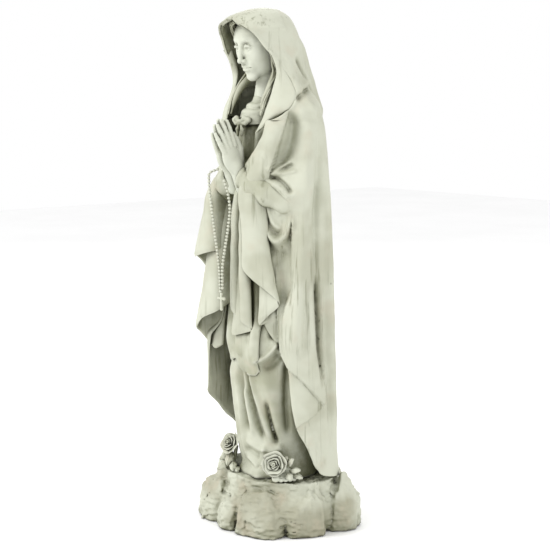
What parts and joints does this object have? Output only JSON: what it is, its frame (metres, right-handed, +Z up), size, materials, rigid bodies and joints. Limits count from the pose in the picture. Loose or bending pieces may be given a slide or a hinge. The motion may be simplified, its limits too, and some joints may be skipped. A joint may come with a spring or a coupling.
{
  "type": "madonna garden statue",
  "caption": "Standing veiled woman with praying hands, a long draped mantle and a rosary, on a rock base with roses.",
  "frame": {"origin": "centre of the flat underside, on the ground", "axes": "+Z up along the figure; the figure faces -Y; +X is the figure's own left"},
  "size_m": [0.18, 0.1848, 0.59],
  "materials": {
    "rock_stone": "rough cast stone with an olive wash in its cracks",
    "rod_steel": "plain bright steel rod",
    "robe_stone": "matt cast stone, ivory, antiqued",
    "mantle_stone": "matt cast stone, ivory grey, with fine upright streaks",
    "skin_stone": "smooth matt cast stone, pale ivory",
    "bead_stone": "smooth matt cast stone with a darker wash between the beads",
    "rose_stone": "smooth matt cast stone with a dark wash between the petals"
  },
  "bodies": {
    "root": {"rock_base": "rock_stone", "base_plate": "rock_stone", "armature_rod": "rod_steel", "robe": "robe_stone", "robe_front_layer": "robe_stone", "mantle": "mantle_stone", "veil": "mantle_stone", "lapel_left": "mantle_stone", "lapel_right": "mantle_stone", "head": "skin_stone", "hair_left": "skin_stone", "hair_right": "skin_stone", "collar": "robe_stone", "neck_bow": "robe_stone", "sleeve_left": "robe_stone", "sleeve_right": "robe_stone", "hand_left": "skin_stone", "hand_right": "skin_stone", "wrist_pins": "rod_steel", "cascade_left": "mantle_stone", "cascade_middle": "mantle_stone", "cascade_right": "mantle_stone", "rosary_beads": "bead_stone", "rosary_string": "bead_stone", "rosary_cross": "bead_stone", "rose_left": "rose_stone", "rose_right": "rose_stone", "rose_leaves": "rose_stone", "foot_left": "skin_stone", "foot_right": "skin_stone"}
  },
  "joints": []
}
